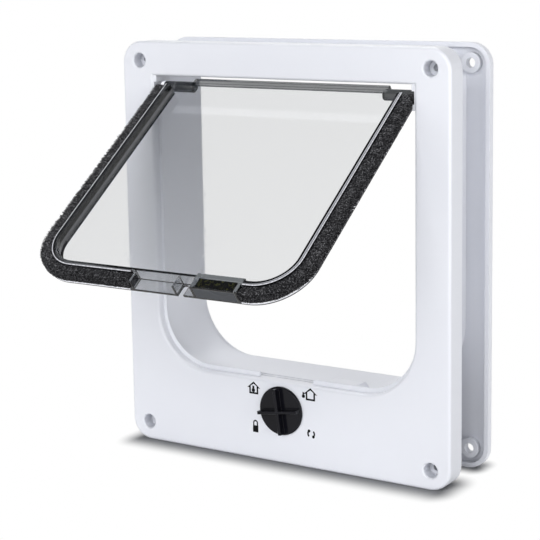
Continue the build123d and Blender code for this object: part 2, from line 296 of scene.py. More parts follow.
# %% Camera
camera_place = Vector((0.5676, -0.8984, 0.1998))
camera_aim = Vector((-0.0138, -0.0051, 0.0254))
camera_roll = math.radians(0.93)
camera_data = bpy.data.cameras.new("camera")
camera_data.lens = 108.45
camera_data.sensor_width = 36.0
camera_data.shift_y = -0.1
camera_data.clip_start = 0.05
camera_data.clip_end = 50.0
camera = bpy.data.objects.new("camera", camera_data)
camera.location = camera_place
camera.rotation_mode = "QUATERNION"
turn = (camera_aim - camera_place).to_track_quat("-Z", "Y")
camera.rotation_quaternion = turn @ Quaternion((0, 0, 1), -camera_roll)
bpy.context.collection.objects.link(camera)
scene.camera = camera
print("camera distance", round((camera_aim - camera_place).length, 3))

# %% [markdown]
# Finishes that several pieces share are node groups, built once. The first is the skin of a moulded
# part: the steel of a mould is never quite smooth, so the plastic has a very fine grain and a gloss that
# drifts a little from place to place. The group hands out a height for a Bump node, a roughness and a
# tint between two near colours. All of it is measured in metres, so the grain has its real size.

# %% Group for a moulded skin
noise_range = (0.3, 0.7)
drift_scale = 22.0


def new_group(name, inputs, outputs):
    group = bpy.data.node_groups.new(name, "ShaderNodeTree")
    for label, kind, start in inputs:
        socket = group.interface.new_socket(label, in_out="INPUT", socket_type=f"NodeSocket{kind}")
        socket.default_value = start
    for label, kind in outputs:
        group.interface.new_socket(label, in_out="OUTPUT", socket_type=f"NodeSocket{kind}")
    enter = group.nodes.new("NodeGroupInput")
    leave = group.nodes.new("NodeGroupOutput")
    return group, enter.outputs, leave.inputs


def noise(tree, scale, detail=2.0, place=None):
    made = add_node(tree, "ShaderNodeTexNoise")
    place = own_place(tree) if place is None else place
    feed_named(tree, made, {"Vector": place, "Scale": scale, "Detail": detail})
    return made.outputs["Fac"]


def spread(tree, value, low, high):
    """Stretches noise, which seldom leaves its middle range, from the low value to the high one."""
    return ramp_between(tree, value, *noise_range, low, high, "LINEAR")


def make_moulded_skin():
    colour = (0.8, 0.8, 0.8, 1.0)
    group, given, made = new_group(
        "moulded_skin",
        [
            ("Tone", "Color", colour),
            ("Drifted Tone", "Color", colour),
            ("Grain Scale", "Float", 2500.0),
            ("Glossy", "Float", 0.3),
            ("Dull", "Float", 0.4),
        ],
        [("Colour", "Color"), ("Roughness", "Float"), ("Height", "Float")],
    )
    drift = noise(group, drift_scale)
    feed(group, toned(group, drift, given["Tone"], given["Drifted Tone"]), made["Colour"])
    feed(group, spread(group, drift, given["Glossy"], given["Dull"]), made["Roughness"])
    feed(group, noise(group, given["Grain Scale"], detail=3.0), made["Height"])
    return group


moulded_skin = make_moulded_skin()
print("group", moulded_skin.name, "with", len(moulded_skin.nodes), "nodes")

# %% [markdown]
# The second group is for edges. A moulded edge is never razor sharp, and it catches a thin line of light.
# A bevel modifier would need clean mesh edges, so the Bevel node is used: it rounds the normal near an
# edge. Where that rounded normal leaves the true one, the group also gives a mask for edges: the dark
# plastics use it for rubbed edges with a painted highlight, and the flap for painted dark edges.

# %% Group for soft edges
def make_soft_edge():
    group, given, made = new_group(
        "soft_edge",
        [("Radius", "Float", 0.4 * MM), ("Contrast", "Float", 6.0)],
        [("Normal", "Vector"), ("Edge", "Float")],
    )
    bevel = add_node(group, "ShaderNodeBevel", samples=6)
    feed(group, given["Radius"], bevel.inputs["Radius"])
    rounded = bevel.outputs["Normal"]
    true_normal = add_node(group, "ShaderNodeNewGeometry").outputs["Normal"]
    parted = maths(group, "SUBTRACT", 1.0, vector_maths(group, "DOT_PRODUCT", rounded, true_normal))
    strong = maths(group, "MULTIPLY", parted, given["Contrast"])
    feed(group, rounded, made["Normal"])
    feed(group, maths(group, "MINIMUM", strong, 1.0), made["Edge"])
    return group


soft_edge = make_soft_edge()
print("group", soft_edge.name, "with", len(soft_edge.nodes), "nodes")

# %% [markdown]
# The third group is for what hands do to polished plastic: broad smears that dull it a little, and fine
# hairlines in two directions. Stretched noise gives the hairlines, and only its thin crests are kept.

# %% Group for handling marks
line_tilt = (0.4, 0.7, 1.0)
line_stretch = (1.0, 0.02, 0.5)
line_crest = (0.66, 0.72)
line_dulling = 0.12
smear_scale = 35.0


def hairlines(tree, angle, scale):
    turned = add_node(tree, "ShaderNodeMapping")
    tilt = [angle * share for share in line_tilt]
    stretch = [scale * share for share in line_stretch]
    feed_named(tree, turned, {"Vector": own_place(tree), "Rotation": tilt, "Scale": stretch})
    stretched = noise(tree, 1.0, detail=1.0, place=turned.outputs["Vector"])
    return ramp_between(tree, stretched, *line_crest, 0.0, 1.0)


def make_handling_marks():
    group, given, made = new_group(
        "handling_marks",
        [("Clean", "Float", 0.05), ("Smeared", "Float", 0.15)],
        [("Roughness", "Float"), ("Lines", "Float")],
    )
    one_way = hairlines(group, angle=0.5, scale=900.0)
    other_way = hairlines(group, angle=1.9, scale=700.0)
    lines = maths(group, "MAXIMUM", one_way, other_way)
    smear = spread(group, noise(group, smear_scale, detail=4.0), given["Clean"], given["Smeared"])
    dulled = maths(group, "MULTIPLY", lines, line_dulling)
    feed(group, maths(group, "ADD", smear, dulled), made["Roughness"])
    feed(group, lines, made["Lines"])
    return group


handling_marks = make_handling_marks()
print("group", handling_marks.name, "with", len(handling_marks.nodes), "nodes")

# %% [markdown]
# Both frames, the lid on the sill and the wheel of the lock are injection moulded from white plastic with
# a satin skin, a little blue in tone. Numbers that are the same all over a surface sit on the Principled
# shader's own sockets, and what changes over it comes from the groups. Deep places such as the screw
# holes give back little light. Path tracing alone leaves them too pale here, so Ambient Occlusion finds
# them and their colour is lowered.

# %% Helpers for finishes
def new_finish(name):
    material = bpy.data.materials.new(name)
    material.use_nodes = True
    tree = material.node_tree
    return material, tree, tree.nodes["Principled BSDF"]


def place_group(tree, group, **values):
    made = add_node(tree, "ShaderNodeGroup", node_tree=group)
    for label, value in values.items():
        feed(tree, value, made.inputs[label.replace("_", " ").title()])
    return made.outputs


def add_bump(tree, height, distance, strength, normal=None):
    bump = add_node(tree, "ShaderNodeBump")
    feed_named(tree, bump, {"Distance": distance, "Strength": strength, "Height": height})
    if normal is not None:
        feed(tree, normal, bump.inputs["Normal"])
    return bump.outputs["Normal"]


def wear(obj, material):
    obj.data.materials.clear()
    obj.data.materials.append(material)
    for face in obj.data.polygons:
        face.material_index = 0


print("groups:", [group.name for group in bpy.data.node_groups])

# %% White plastic
deep_reach = 9 * MM
deep_light = (0.1, 0.5)
deep_share = 0.75
deep_tone = (0.3, 0.31, 0.34, 1.0)


def make_white_plastic():
    material, tree, shader = new_finish("white_moulding")
    skin = place_group(
        tree,
        moulded_skin,
        tone=(0.80, 0.815, 0.875, 1.0),
        drifted_tone=(0.825, 0.84, 0.89, 1.0),
        grain_scale=2600.0,
        glossy=0.30,
        dull=0.38,
    )
    edge = place_group(tree, soft_edge, radius=0.5 * MM)
    open_sky = add_node(tree, "ShaderNodeAmbientOcclusion", samples=4)
    feed(tree, deep_reach, open_sky.inputs["Distance"])
    deep = ramp_between(tree, open_sky.outputs["AO"], *deep_light, deep_share, 0.0)
    tone = toned(tree, deep, skin["Colour"], deep_tone)
    normal = add_bump(tree, skin["Height"], distance=0.02 * MM, strength=0.35, normal=edge["Normal"])
    values = {"Base Color": tone, "Roughness": skin["Roughness"], "Normal": normal, "IOR": 1.5}
    feed_named(tree, shader, values)
    return material


white_plastic = make_white_plastic()
for name in ("front_frame", "rear_frame", "sill_lid", "lock_wheel"):
    wear(cad[name], white_plastic)
print("white pieces dressed")

# %% [markdown]
# The flap swings on two barrels at its top, and stands open here. Its rim has walls, a lip, a recess and
# a housing that each look different, so the finish has to know where on the flap a point lies. A texture
# map could say so. Distances need no unwrapping: places are measured from the hinge, across, down the
# panel and forward of it, and from the flap's outline. The same measures place the pile later.

# %% Places on the open flap
joints = {joint["name"]: joint for joint in frame["record"]["behaviour"]["joints"]}
hinge_place = Vector(joints["flap_hinge"]["pos_m"])
flap_open = math.radians(54.3)
down_panel = Vector((0, -math.sin(flap_open), -math.cos(flap_open)))
forward = Vector((0, -math.cos(flap_open), math.sin(flap_open)))
flap_half = 97.0 * MM
flap_drop = 181.7 * MM
flap_corner_r = 31.5 * MM


def flap_places(tree):
    """Where a point of the flap lies: across, down the panel from the hinge, and forward of the hinge."""
    from_hinge = vector_maths(tree, "SUBTRACT", own_place(tree), hinge_place)
    return [vector_maths(tree, "DOT_PRODUCT", from_hinge, way) for way in ((1, 0, 0), down_panel, forward)]


def from_rim(tree, across, down):
    """How far a point lies inside the flap's outline, which has round lower corners."""
    past_side = maths(tree, "SUBTRACT", maths(tree, "ABSOLUTE", across), flap_half - flap_corner_r)
    past_low = maths(tree, "SUBTRACT", down, flap_drop - flap_corner_r)
    in_corner = add_node(tree, "ShaderNodeCombineXYZ")
    feed(tree, maths(tree, "MAXIMUM", past_side, 0.0), in_corner.inputs["X"])
    feed(tree, maths(tree, "MAXIMUM", past_low, 0.0), in_corner.inputs["Y"])
    length = vector_maths(tree, "LENGTH", in_corner.outputs["Vector"])
    straight = maths(tree, "MINIMUM", maths(tree, "MAXIMUM", past_side, past_low), 0.0)
    return maths(tree, "SUBTRACT", flap_corner_r, length, straight)


def within(tree, value, low, high):
    """One between two limits, and zero outside them."""
    over = maths(tree, "GREATER_THAN", value, low)
    return maths(tree, "MULTIPLY", over, maths(tree, "LESS_THAN", value, high))


print("flap from", tuple(round(v, 4) for v in hinge_place), "open by", round(math.degrees(flap_open), 1))

# %% [markdown]
# The flap is clear plastic with a slight smoke tint. The panel is thin and hardly darkens what is behind
# it, so the tint is an absorbing volume, which counts the length of the light's path in the solid. The
# rim of such a flap looks almost black, because its walls bend the view towards dark corners of the room,
# and thin lines of light run along it, where light that is carried inside the plastic comes out at the
# edges. A full studio could be built to be mirrored there. Here both are painted on by place: masks pick
# out the walls, their foot, the lip, the recess and the magnet's housing; the black is a painted
# reflection of the dark room, and the lines of light are painted highlights that glow.

# %% Zones of the flap
plate_middle = -0.5 * MM
plate_edge_width = 0.3 * MM
wall_inset = (8.3 * MM, 9.8 * MM)
wall_margin = 0.1 * MM
wall_rise = (0.9 * MM, 1.5 * MM)
foot_width = 0.7 * MM
lip_height = 8.3 * MM
lip_fade = 0.3 * MM
recess_across = (-18.2 * MM, 28.0 * MM)
recess_down = 173.0 * MM
housing_end = 61.2 * MM
housing_down = 169.8 * MM
barrel_end = 6 * MM
barrel_fade = (4 * MM, 8 * MM)
# Shares of the painted dark reflection on the rim, near the barrels and at the left.
barrel_painted_dark = 0.85
left_fade = (-60 * MM, -30 * MM)
left_painted_dark = 0.95


def flap_zones(tree):
    """Masks for the parts of the flap, with the distances that the lines of light need."""
    across, down, ahead = flap_places(tree)
    inset = from_rim(tree, across, down)
    off_panel = maths(tree, "ABSOLUTE", maths(tree, "SUBTRACT", ahead, plate_middle))
    low_half = maths(tree, "GREATER_THAN", down, flap_drop / 2)
    by_recess = maths(tree, "MULTIPLY", low_half, within(tree, across, *recess_across))
    by_lock = maths(tree, "MULTIPLY", low_half, within(tree, across, recess_across[0], housing_end))
    beside = maths(tree, "SUBTRACT", 1.0, by_lock)
    on_top = ramp_between(tree, off_panel, lip_height, lip_height + lip_fade, 0.0, 1.0)
    wall = within(tree, inset, wall_inset[0] - wall_margin, wall_inset[1] + wall_margin)
    standing = ramp_between(tree, off_panel, *wall_rise, 0.0, 1.0)
    at_barrels = ramp_between(tree, down, *barrel_fade, barrel_painted_dark, 1.0)
    at_left = ramp_between(tree, across, *left_fade, left_painted_dark, 1.0)
    foot = within(tree, inset, wall_inset[1], wall_inset[1] + foot_width)
    plate_edge = maths(tree, "LESS_THAN", inset, plate_edge_width)
    plate_front = maths(tree, "GREATER_THAN", ahead, plate_middle)
    lit_edge = maths(tree, "MULTIPLY", plate_edge, plate_front, beside)
    past_panel = maths(tree, "GREATER_THAN", down, housing_down)
    return {
        "across": across,
        "inset": inset,
        "off_panel": off_panel,
        "wall": wall,
        # Painted dark reflection on the rim walls and lip.
        "painted_dark_rim": maths(tree, "MULTIPLY", beside, standing, at_barrels, at_left),
        "recess_wall": maths(tree, "MULTIPLY", by_recess, wall, on_top),
        "foot": maths(tree, "MULTIPLY", foot, beside, maths(tree, "GREATER_THAN", down, barrel_end)),
        "lit_edge": lit_edge,
        "dull_edge": maths(tree, "SUBTRACT", plate_edge, lit_edge),
        "lip": maths(tree, "MULTIPLY", beside, on_top),
        "recess": maths(tree, "MULTIPLY", by_recess, maths(tree, "GREATER_THAN", down, recess_down)),
        "housing": maths(tree, "MULTIPLY", past_panel, maths(tree, "SUBTRACT", by_lock, by_recess)),
    }


print("rim wall, mm from the outline:", [round(limit / MM, 1) for limit in wall_inset])

# %% Tone and light of the rim
# Painted reflection: rim_black stands for the dark room that the rim, its foot and sharp edges would mirror.
rim_black = (0.002, 0.002, 0.0025, 1.0)
lock_grey = (0.1, 0.11, 0.12, 1.0)
recess_share = 0.3
housing_share = 0.55
no_light = (0.0, 0.0, 0.0, 1.0)
# Painted highlights: the colour of the glowing lines of light on the flap.
full_light = (0.92, 0.93, 1.0, 1.0)
lip_inset = 6.7 * MM
line_ends = (lip_inset + 0.5 * MM, lip_inset + 1.2 * MM, lip_inset + 1.55 * MM)
line_grain = 900.0
line_light = (0.45, 1.0)
band_across = (-80 * MM, -50 * MM)
band_light = (0.03, 0.2)
second_across = (60 * MM, 85 * MM)
second_light = (0.0, 0.7)
edge_light = 0.8
streak_height = (2.2 * MM, 4.6 * MM)
streak_end = -50 * MM
streak_light = 0.07


def flap_tone(tree, zone, edge):
    """Clear on the panel, grey at recess and housing, and black on the rim, at its foot and along sharp
    edges, as a painted reflection of the dark room.
    """
    sharp = maths(tree, "SUBTRACT", edge, maths(tree, "MULTIPLY", edge, zone["lip"]))
    lines = maths(tree, "MAXIMUM", zone["recess_wall"], zone["foot"], zone["dull_edge"], sharp)
    tone = toned(tree, zone["painted_dark_rim"], pure_white, rim_black)
    tone = toned(tree, maths(tree, "MULTIPLY", zone["recess"], recess_share), tone, lock_grey)
    tone = toned(tree, maths(tree, "MULTIPLY", zone["housing"], housing_share), tone, lock_grey)
    return toned(tree, lines, tone, rim_black)


def lip_light(tree, across, inset):
    """Light along the lip: an uneven line at its outer edge, then a band, and a second line at the right."""
    uneven = spread(tree, noise(tree, line_grain), *line_light)
    outer = maths(tree, "MULTIPLY", within(tree, inset, 0.0, line_ends[0]), uneven)
    on_band = within(tree, inset, line_ends[0], line_ends[1])
    band = maths(tree, "MULTIPLY", on_band, ramp_between(tree, across, *band_across, *band_light))
    on_second = within(tree, inset, line_ends[1], line_ends[2])
    second = maths(tree, "MULTIPLY", on_second, ramp_between(tree, across, *second_across, *second_light))
    return maths(tree, "ADD", outer, band, second)


def flap_glow(tree, zone):
    """Painted lines of light on the lip and the panel's front edge, and a faint painted streak on the left
    wall.
    """
    on_lip = maths(tree, "MULTIPLY", zone["lip"], lip_light(tree, zone["across"], zone["inset"]))
    on_edge = maths(tree, "MULTIPLY", zone["lit_edge"], edge_light)
    at_left = maths(tree, "LESS_THAN", zone["across"], streak_end)
    on_streak = within(tree, zone["off_panel"], *streak_height)
    streak = maths(tree, "MULTIPLY", on_streak, zone["wall"], at_left, streak_light)
    return toned(tree, maths(tree, "MAXIMUM", on_lip, on_edge, streak), no_light, full_light)


print("lines on the lip end, mm from the outline:", [round(end / MM, 2) for end in line_ends])

# %% [markdown]
# The clear plastic now takes its tone and its light from those masks. A solid glass shader would throw a
# dark shadow here, because shadow rays don't bend, so rays that only carry light meet a plain tint, and
# the flap's shadow stays faint.

# %% Clear plastic
shadow_tint = (0.42, 0.43, 0.44, 1.0)
smoke_tint = (0.29, 0.33, 0.36, 1.0)
smoke_density = 130.0


def make_clear_plastic():
    material, tree, shader = new_finish("clear_flap")
    marks = place_group(tree, handling_marks, clean=0.015, smeared=0.05)
    edge = place_group(tree, soft_edge, radius=0.6 * MM)
    zone = flap_zones(tree)
    values = {
        "Base Color": flap_tone(tree, zone, edge["Edge"]),
        "Emission Color": flap_glow(tree, zone),
        "Emission Strength": 1.0,
        "Transmission Weight": 1.0,
        "IOR": 1.49,
        "Roughness": marks["Roughness"],
        "Normal": add_bump(tree, marks["Lines"], distance=0.004 * MM, strength=0.2, normal=edge["Normal"]),
    }
    feed_named(tree, shader, values)
    through = add_node(tree, "ShaderNodeBsdfTransparent")
    feed(tree, shadow_tint, through.inputs["Color"])
    path = add_node(tree, "ShaderNodeLightPath").outputs
    lighting = maths(tree, "MAXIMUM", path["Is Shadow Ray"], path["Is Diffuse Ray"])
    out = tree.nodes["Material Output"]
    mix_shaders(tree, lighting, shader.outputs["BSDF"], through.outputs["BSDF"], out.inputs["Surface"])
    smoke = add_node(tree, "ShaderNodeVolumeAbsorption")
    feed_named(tree, smoke, {"Color": smoke_tint, "Density": smoke_density})
    feed(tree, smoke.outputs["Volume"], out.inputs["Volume"])
    return material


wear(cad["flap"], make_clear_plastic())
print("flap dressed")

# %% [markdown]
# The knob is black plastic with a satin skin. Its edges are a little paler, partly worn where fingers
# rub and partly a painted highlight where the light catches them. The cover of the flap's magnet is a grey
# smoke plastic with the same skin. One function makes both, because only the tones and the gloss differ.

# %% Black and smoke plastic
def make_dark_plastic(name, rubbed_and_lit_tone, **skin_values):
    material, tree, shader = new_finish(name)
    skin = place_group(tree, moulded_skin, grain_scale=3200.0, **skin_values)
    edge = place_group(tree, soft_edge, radius=0.35 * MM)
    # Paler edges: partly wear, partly a painted highlight.
    worn_and_lit_tone = toned(tree, edge["Edge"], skin["Colour"], rubbed_and_lit_tone)
    normal = add_bump(tree, skin["Height"], distance=0.02 * MM, strength=0.5, normal=edge["Normal"])
    feed_named(tree, shader, {"Base Color": worn_and_lit_tone, "Roughness": skin["Roughness"], "Normal": normal})
    feed(tree, 0.18, shader.inputs["Specular IOR Level"])
    return material


black_plastic = make_dark_plastic(
    "black_knob",
    tone=(0.004, 0.004, 0.006, 1.0),
    drifted_tone=(0.007, 0.007, 0.011, 1.0),
    rubbed_and_lit_tone=(0.03, 0.03, 0.034, 1.0),
    glossy=0.12,
    dull=0.2,
)
smoke_plastic = make_dark_plastic(
    "smoke_cover",
    tone=(0.05, 0.054, 0.062, 1.0),
    drifted_tone=(0.06, 0.065, 0.075, 1.0),
    rubbed_and_lit_tone=(0.12, 0.13, 0.145, 1.0),
    glossy=0.25,
    dull=0.35,
)
wear(cad["lock_knob"], black_plastic)
wear(cad["magnet_cover"], smoke_plastic)
print("knob and magnet cover dressed")

# %% [markdown]
# The two bar magnets are sintered ferrite: nearly black, with a dull crystalline speckle that has a trace
# of olive. Noise would give soft clouds, so Voronoi cells stand for the crystals. The screw that holds
# the lock is zinc plated steel, with faint rings from turning.

# %% Magnet and screw
crystal_scale = 600.0
crystal_black = (0.6, (0.004, 0.004, 0.0035, 1.0))
crystal_olive = (0.9, (0.35, 0.35, 0.07, 1.0))
ring_scale = 900.0
zinc_tone = (0.62, 0.62, 0.6, 1.0)


def colour_ramp(tree, factor, *stops):
    """A colour by the factor, between two stops that each hold a position and a colour."""
    made = add_node(tree, "ShaderNodeValToRGB")
    for element, (position, colour) in zip(made.color_ramp.elements, stops):
        element.position = position
        element.color = colour
    feed(tree, factor, made.inputs["Fac"])
    return made.outputs["Color"]


def make_ferrite():
    material, tree, shader = new_finish("ferrite")
    cells = add_node(tree, "ShaderNodeTexVoronoi")
    feed_named(tree, cells, {"Vector": own_place(tree), "Scale": crystal_scale})
    crystal = add_node(tree, "ShaderNodeSeparateColor")
    feed(tree, cells.outputs["Color"], crystal.inputs["Color"])
    tone = colour_ramp(tree, crystal.outputs["Red"], crystal_black, crystal_olive)
    dullness = spread(tree, crystal.outputs["Green"], 0.45, 0.75)
    normal = add_bump(tree, cells.outputs["Distance"], distance=0.1 * MM, strength=0.6)
    feed_named(tree, shader, {"Base Color": tone, "Roughness": dullness, "Normal": normal})
    return material


def make_zinc():
    material, tree, shader = new_finish("zinc_screw")
    marks = place_group(tree, handling_marks, clean=0.25, smeared=0.4)
    rings = add_node(tree, "ShaderNodeTexWave", wave_type="RINGS", rings_direction="Y")
    feed_named(tree, rings, {"Vector": own_place(tree), "Scale": ring_scale})
    normal = add_bump(tree, rings.outputs["Fac"], distance=0.02 * MM, strength=0.3)
    values = {"Base Color": zinc_tone, "Metallic": 1.0, "Roughness": marks["Roughness"], "Normal": normal}
    feed_named(tree, shader, values)
    return material


ferrite = make_ferrite()
wear(cad["flap_magnet"], ferrite)
wear(cad["sill_magnet"], ferrite)
wear(cad["lock_screw"], make_zinc())
print("magnets and screw dressed")

# %% [markdown]
# A pile strip runs in a channel round each half of the flap. Its fibres stand on the wall of the channel
# and point outward, past the panel's edge, to brush against the tunnel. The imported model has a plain
# solid there. It could be given a fuzzy texture, but the outline would stay hard, so real fibres are
# made. First comes the line that they stand on: down one side of the flap, round a corner, and along the
# bottom as far as the recess or the housing.

# %% Channel of the pile
channel_inset = 8.2 * MM
channel_start = 6.6 * MM
channel_back = 0.35 * MM
channel_front = 6.6 * MM
left_end = -16.9 * MM
right_end = 61.5 * MM


def on_flap(across, down, out):
    """Points of the part from arrays of places on the open flap."""
    rows = np.outer(down, down_panel) + np.outer(out, forward)
    rows[:, 0] += across
    return rows + np.array(hinge_place)


def channel_path(side, end):
    """Length of one half of the rim line, and a function that gives place and outward direction on it."""
    half = flap_half - channel_inset
    low = flap_drop - channel_inset
    radius = flap_corner_r - channel_inset
    straight = low - radius - channel_start
    corner = radius * math.pi / 2
    bottom = half - radius - side * end
    total = straight + corner + bottom

    def at(along):
        angle = np.clip((along - straight) / radius, 0, math.pi / 2)
        out_across = np.cos(angle)
        out_down = np.sin(angle)
        on_side = np.minimum(along, straight)
        on_bottom = np.maximum(along - straight - corner, 0)
        across = half - radius + radius * out_across - on_bottom
        down = channel_start + on_side + radius * out_down
        return side * across, down, side * out_across, out_down

    return total, at


for side, end in ((-1, left_end), (1, right_end)):
    print("half of the rim, mm:", round(channel_path(side, end)[0] / MM))

# %% [markdown]
# Pile is woven in tufts, and the fibres of a tuft lean together. Blender's hair could draw them, but a
# mesh keeps its form in any program that reads it. So each fibre is a thin three-sided rod with a blunt
# end, set a little out of place at random: first its tuft, then the fibre in its tuft. Towards the front
# the strip bulges past its channel, and at the back the fibres are a little shorter.

# %% Fibres of one strip
fibre_length = 9.6 * MM
fibre_shares = (0.45, 1.0)
tuft_step = 0.7 * MM
fibres_per_tuft = 7
tuft_jitter = 0.25
tuft_lean_mm = 0.35
fibre_jitter_mm = 0.28
fibre_lean_mm = 0.15
forward_lean = 0.5
level_jitter = 0.06
length_spread = 0.012
back_zone = 0.35
back_shorter = 0.03
low_back_shorter = 0.14
bulge = 1.4 * MM
bulge_start = 0.3
bulge_curve = 0.7
panel_gap = 0.3 * MM
pale_power = 4
own_shade = 0.12
left_painted_light = 0.45


def fibre_rings(rng, side, end):
    """Points low on each fibre and at its tip, with a shade for each fibre."""
    total, at = channel_path(side, end)
    along_count = int(total / tuft_step)
    across_count = int((channel_front - channel_back) / tuft_step)
    along, level = np.meshgrid(np.arange(along_count) + 0.5, np.arange(across_count) + 0.5)
    tufts = along.size
    along = along.ravel() / along_count + rng.normal(0, tuft_jitter, tufts) / along_count
    level = level.ravel() / across_count + rng.normal(0, tuft_jitter, tufts) / across_count
    lean = rng.normal(0, tuft_lean_mm, (tufts, 2)) * MM
    height = rng.normal(1.0, length_spread, tufts)
    shade = rng.uniform(0, 1, tufts) ** pale_power
    along, level, height, shade = (np.repeat(v, fibres_per_tuft) for v in (along, level, height, shade))
    lean = np.repeat(lean, fibres_per_tuft, axis=0)
    count = along.size
    along = np.clip(along * total + rng.normal(0, fibre_jitter_mm, count) * MM, 0, total)
    level = np.clip(level + rng.normal(0, level_jitter, count), 0.0, 1.0)
    out = channel_back + level * (channel_front - channel_back)
    across, down, out_across, out_down = at(along)
    at_back = np.maximum(1.0 - level / back_zone, 0.0)
    rounded = 1.0 - (back_shorter + low_back_shorter * out_down) * at_back
    reach = fibre_length * height * rounded * rng.normal(1.0, length_spread, count)
    lean = lean + rng.normal(0, fibre_lean_mm, (count, 2)) * MM
    shade = (1 - own_shade) * shade + own_shade * rng.uniform(0, 1, count)
    # Painted light: the fibres that point left are made paler, as that strip gives back more light.
    shade = shade + left_painted_light * np.maximum(-out_across, 0)
    rings = []
    for share in fibre_shares:
        slip = lean[:, 0] * share
        outward = reach * share
        lifted = bulge * np.maximum(level - bulge_start, 0) / (1 - bulge_start) * share ** bulge_curve
        rings.append(
            on_flap(
                across + out_across * outward - out_down * slip,
                down + out_down * outward + out_across * slip,
                np.maximum(out + lifted + lean[:, 1] * share * forward_lean, panel_gap),
            )
        )
    return rings, shade


print("fibres per square cm:", round(fibres_per_tuft / (tuft_step / (10 * MM)) ** 2))

# %% Rods for the fibres
fibre_width = 0.22 * MM
rod_sides = 3
tip_taper = 0.8


def rods(rings, shade):
    """Vertices, faces and the two fibre values of thin rods with blunt ends."""
    low, tip = rings
    count = len(low)
    axis = tip - low
    side_a = np.cross(axis, np.array(forward))
    side_a /= np.linalg.norm(side_a, axis=1)[:, None]
    side_b = np.cross(axis, side_a)
    side_b /= np.linalg.norm(side_b, axis=1)[:, None]
    corners = 2 * rod_sides
    points = np.zeros((count, corners, 3))
    first = np.arange(count)[:, None] * corners
    faces = []
    for k in range(rod_sides):
        n = (k + 1) % rod_sides
        angle = k * 2 * math.pi / rod_sides
        offset = (side_a * math.cos(angle) + side_b * math.sin(angle)) * fibre_width / 2
        points[:, k] = low + offset
        points[:, rod_sides + k] = tip + offset * tip_taper
        faces += (first + np.array([k, n, rod_sides + n, rod_sides + k])).tolist()
    faces += (first + np.arange(rod_sides, corners)).tolist()
    along = np.tile(np.repeat(fibre_shares, rod_sides), count)
    return points.reshape(-1, 3), faces, along, np.repeat(shade, corners)


print("rods", round(fibre_width / MM, 2), "mm wide, with", rod_sides, "sides")

# %% [markdown]
# Between the fibres the eye would see through to the channel. More fibres would close the gaps at a high
# cost in triangles, so a dark bar with a rounded section lies inside them. Each corner of its section has
# a share of the bar's reach and a place forward of the hinge.

# %% Core of one strip
core_reach = 8.7 * MM
core_steps = 90
core_section = [
    (0.0, channel_back),
    (0.88, channel_back),
    (0.97, 0.3 * channel_front),
    (1.0, channel_front + 0.5 * bulge),
    (0.94, channel_front + 0.75 * bulge),
    (0.5, channel_front + 0.4 * bulge),
    (0.15, channel_front - 0.1 * bulge),
    (0.0, 0.9 * channel_front),
]


def strip_core(side, end):
    """Vertices and faces of the bar along the channel."""
    total, at = channel_path(side, end)
    across, down, out_across, out_down = at(np.linspace(0, total, core_steps))
    rings = []
    for share, out in core_section:
        reach = core_reach * share
        rings.append(on_flap(across + out_across * reach, down + out_down * reach, np.full(core_steps, out)))
    points = np.stack(rings, axis=1).reshape(-1, 3)
    size = len(core_section)
    faces = []
    for i in range(core_steps - 1):
        for k in range(size):
            n = (k + 1) % size
            faces.append([i * size + k, i * size + n, (i + 1) * size + n, (i + 1) * size + k])
    faces.append(list(range(size)))
    faces.append([(core_steps - 1) * size + k for k in reversed(range(size))])
    return points, faces


def make_pile(name, side, end, seed):
    rng = np.random.default_rng(seed)
    points, faces, along, shade = rods(*fibre_rings(rng, side, end))
    core_points, core_faces = strip_core(side, end)
    start = len(points)
    faces = faces + [[start + v for v in face] for face in core_faces]
    points = np.concatenate([points, core_points])
    mesh = bpy.data.meshes.new(name)
    mesh.from_pydata(points.tolist(), [], faces)
    for label, values in (("fibre_along", along), ("fibre_shade", shade)):
        values = np.concatenate([values, np.zeros(len(core_points))]).astype(np.float32)
        mesh.attributes.new(label, "FLOAT", "POINT").data.foreach_set("value", values)
    mesh.shade_smooth()
    pile = bpy.data.objects.new(name, mesh)
    bpy.context.collection.objects.link(pile)
    return pile


print("core with", core_steps, "steps of", len(core_section), "corners")

# %% [markdown]
# Each tuft of charcoal fibres has its own depth of grey. The fibres that point left are painted paler,
# since the way that pile lies changes how much light it gives back, and low down, near the lip, all are
# painted a touch paler, where light comes in from the front. An image could be painted for this, but here
# it comes from values that were stored on the mesh with the fibres. Over them lies a fine speckle of
# painted glints, because the fibres of real pile catch the light one by one. The shader has hardly any
# gloss, or the black would go.

# %% Pile finish
pile_black = (0.0, (0.003, 0.003, 0.004, 1.0))
pile_grey = (1.0, (0.36, 0.36, 0.38, 1.0))
root_painted_light = 0.04
shade_share = 0.25
speckle_scale = 1100.0
speckle_range = (0.48, 0.76)
speckle_share = 0.75


def make_pile_finish():
    material, tree, shader = new_finish("charcoal_pile")
    along = add_node(tree, "ShaderNodeAttribute", attribute_name="fibre_along").outputs["Fac"]
    shade = add_node(tree, "ShaderNodeAttribute", attribute_name="fibre_shade").outputs["Fac"]
    # Painted light: fibres are paler low down, near the lip, where light comes in from the front.
    root = maths(tree, "MULTIPLY", maths(tree, "SUBTRACT", 1.0, along), root_painted_light)
    # The speckle is painted glints, where single fibres catch the light.
    grain = noise(tree, speckle_scale, detail=3.0)
    speckle = ramp_between(tree, grain, *speckle_range, 0.0, speckle_share)
    depth = maths(tree, "ADD", speckle, maths(tree, "MULTIPLY", shade, shade_share))
    tone = colour_ramp(tree, maths(tree, "ADD", root, depth), pile_black, pile_grey)
    dullness = spread(tree, shade, 0.55, 0.75)
    gloss = {"Roughness": dullness, "Specular IOR Level": 0.03, "Sheen Weight": 0.01}
    feed_named(tree, shader, {"Base Color": tone, **gloss})
    return material


